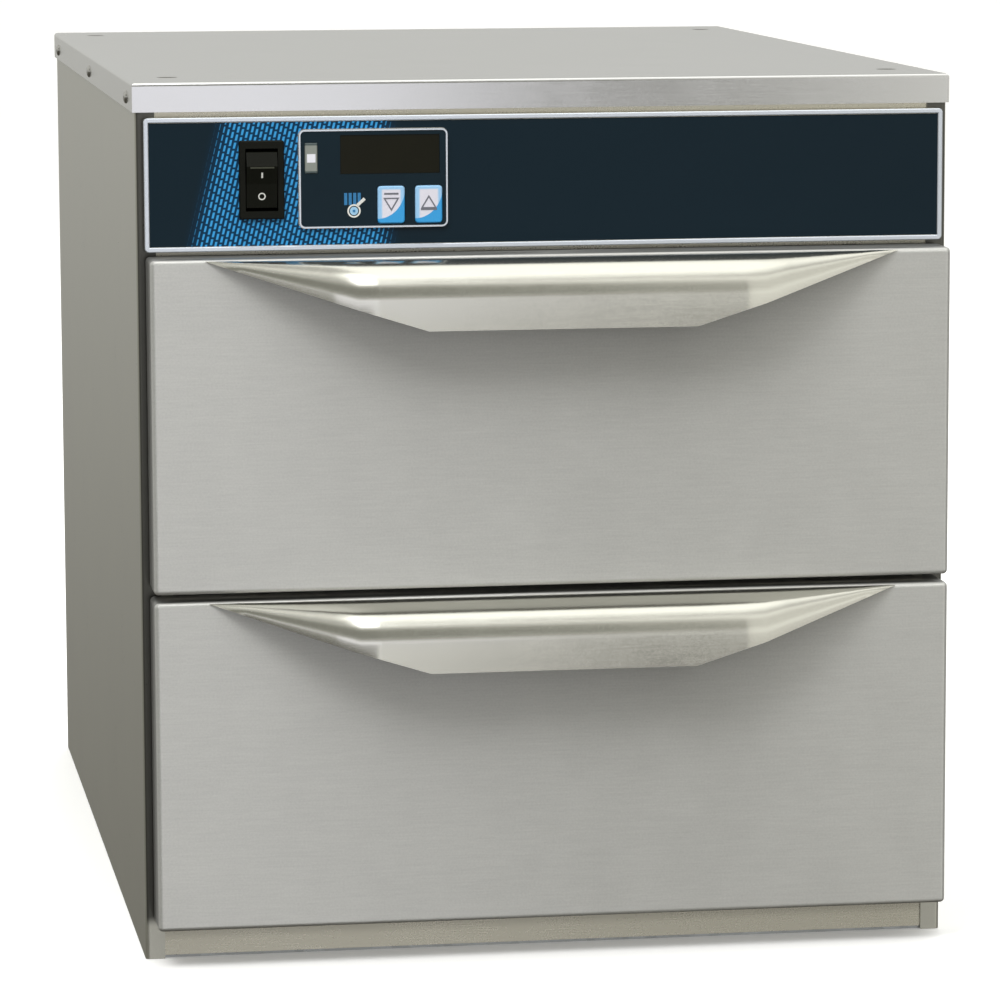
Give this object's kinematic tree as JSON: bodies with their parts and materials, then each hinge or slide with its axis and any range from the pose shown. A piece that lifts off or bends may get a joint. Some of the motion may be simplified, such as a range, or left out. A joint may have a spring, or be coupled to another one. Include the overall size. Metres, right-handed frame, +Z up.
{
  "type": "countertop warming drawer",
  "caption": "Narrow stainless countertop food warmer: a sheet-metal cabinet with heated pan drawers on telescopic slides, hooded pulls, and a control strip with a switch and a thermostat.",
  "frame": {"origin": "middle of the footprint, on the counter that the cabinet stands on", "axes": "+Z up, +Y from the drawer fronts to the rear panel, +X to the right as the user faces the drawers"},
  "size_m": [0.425, 0.6586, 0.451],
  "materials": {
    "brushed_stainless": "satin",
    "plain_stainless": "satin",
    "pan_steel": "polished",
    "galvanised_sheet": "matte",
    "zinc_plated_steel": "satin",
    "screw_steel": "satin",
    "trim_aluminium": "satin",
    "black_plug_plastic": "matte",
    "switch_plastic": "satin",
    "navy_overlay_film": "satin",
    "dark_display_glass": "gloss",
    "lamp_lens": "gloss",
    "key_cap": "satin",
    "controller_plastic": "matte",
    "circuit_board": "satin",
    "transformer_core": "satin",
    "thermostat_ceramic": "matte",
    "sensor_steel": "satin",
    "silicone_rubber": "matte",
    "glass_fibre": "matte"
  },
  "bodies": {
    "cabinet": {"top_cover": "brushed_stainless", "cover_screws": "screw_steel", "hole_plugs": "black_plug_plastic", "left_side_panel": "brushed_stainless", "right_side_panel": "brushed_stainless", "base_pan": "galvanised_sheet", "leg_inserts": "zinc_plated_steel", "front_frame": "brushed_stainless", "rear_panel": "galvanised_sheet", "rear_panel_screws": "screw_steel", "cord_gland": "black_plug_plastic", "left_insulation": "glass_fibre", "right_insulation": "glass_fibre", "rear_insulation": "glass_fibre", "middle_insulation": "glass_fibre", "bottom_insulation": "glass_fibre", "lower_liner": "plain_stainless", "upper_liner": "plain_stainless", "lower_heating_cable": "silicone_rubber", "upper_heating_cable": "silicone_rubber", "lower_outer_slides": "zinc_plated_steel", "upper_outer_slides": "zinc_plated_steel", "control_panel": "galvanised_sheet", "panel_trim": "trim_aluminium", "panel_overlay": "navy_overlay_film", "controller_frame": "trim_aluminium", "controller_fascia": "navy_overlay_film", "display_window": "dark_display_glass", "indicator_light": "lamp_lens", "controller_case": "controller_plastic", "control_board": "circuit_board", "switch_housing": "switch_plastic", "switch_terminals": "screw_steel", "control_shelf": "galvanised_sheet", "transformer": "transformer_core", "power_relay": "controller_plastic", "terminal_block": "controller_plastic", "limit_thermostat": "thermostat_ceramic", "temperature_sensor": "sensor_steel"},
    "lower_drawer": {"lower_drawer_front": "brushed_stainless", "lower_drawer_inner_panel": "plain_stainless", "lower_drawer_insulation": "glass_fibre", "lower_drawer_handle": "brushed_stainless", "lower_drawer_gasket": "silicone_rubber", "lower_drawer_frame": "plain_stainless", "lower_food_pan": "pan_steel", "lower_inner_slides": "zinc_plated_steel"},
    "lower_mid_slide_pair": {"lower_mid_slides": "zinc_plated_steel"},
    "upper_drawer": {"upper_drawer_front": "brushed_stainless", "upper_drawer_inner_panel": "plain_stainless", "upper_drawer_insulation": "glass_fibre", "upper_drawer_handle": "brushed_stainless", "upper_drawer_gasket": "silicone_rubber", "upper_drawer_frame": "plain_stainless", "upper_food_pan": "pan_steel", "upper_inner_slides": "zinc_plated_steel"},
    "upper_mid_slide_pair": {"upper_mid_slides": "zinc_plated_steel"},
    "power_rocker": {"rocker": "switch_plastic"},
    "down_button": {"key_down": "key_cap"},
    "up_button": {"key_up": "key_cap"}
  },
  "joints": [
    {"name": "lower_drawer_slide", "type": "slide", "parent": "cabinet", "child": "lower_drawer", "axis": [0, -1, 0], "range_m": [0, 0.5]},
    {"name": "lower_mid_slide_travel", "type": "slide", "parent": "cabinet", "child": "lower_mid_slide_pair", "axis": [0, -1, 0], "range_m": [0, 0.25]},
    {"name": "upper_drawer_slide", "type": "slide", "parent": "cabinet", "child": "upper_drawer", "axis": [0, -1, 0], "range_m": [0, 0.5]},
    {"name": "upper_mid_slide_travel", "type": "slide", "parent": "cabinet", "child": "upper_mid_slide_pair", "axis": [0, -1, 0], "range_m": [0, 0.25]},
    {"name": "power_rocker_tilt", "type": "hinge", "parent": "cabinet", "child": "power_rocker", "pos_m": [-0.1467, -0.2761, 0.4018], "axis": [-1, 0, 0], "range_deg": [0, 14]},
    {"name": "down_key_travel", "type": "slide", "parent": "cabinet", "child": "down_button", "axis": [0, 1, 0], "range_m": [0, 0.0006], "stiffness_N_per_m": 800},
    {"name": "up_key_travel", "type": "slide", "parent": "cabinet", "child": "up_button", "axis": [0, 1, 0], "range_m": [0, 0.0006], "stiffness_N_per_m": 800}
  ],
  "couplings": [
    {"joint": "lower_mid_slide_travel", "follows": "lower_drawer_slide", "ratio": 0.5},
    {"joint": "upper_mid_slide_travel", "follows": "upper_drawer_slide", "ratio": 0.5}
  ]
}
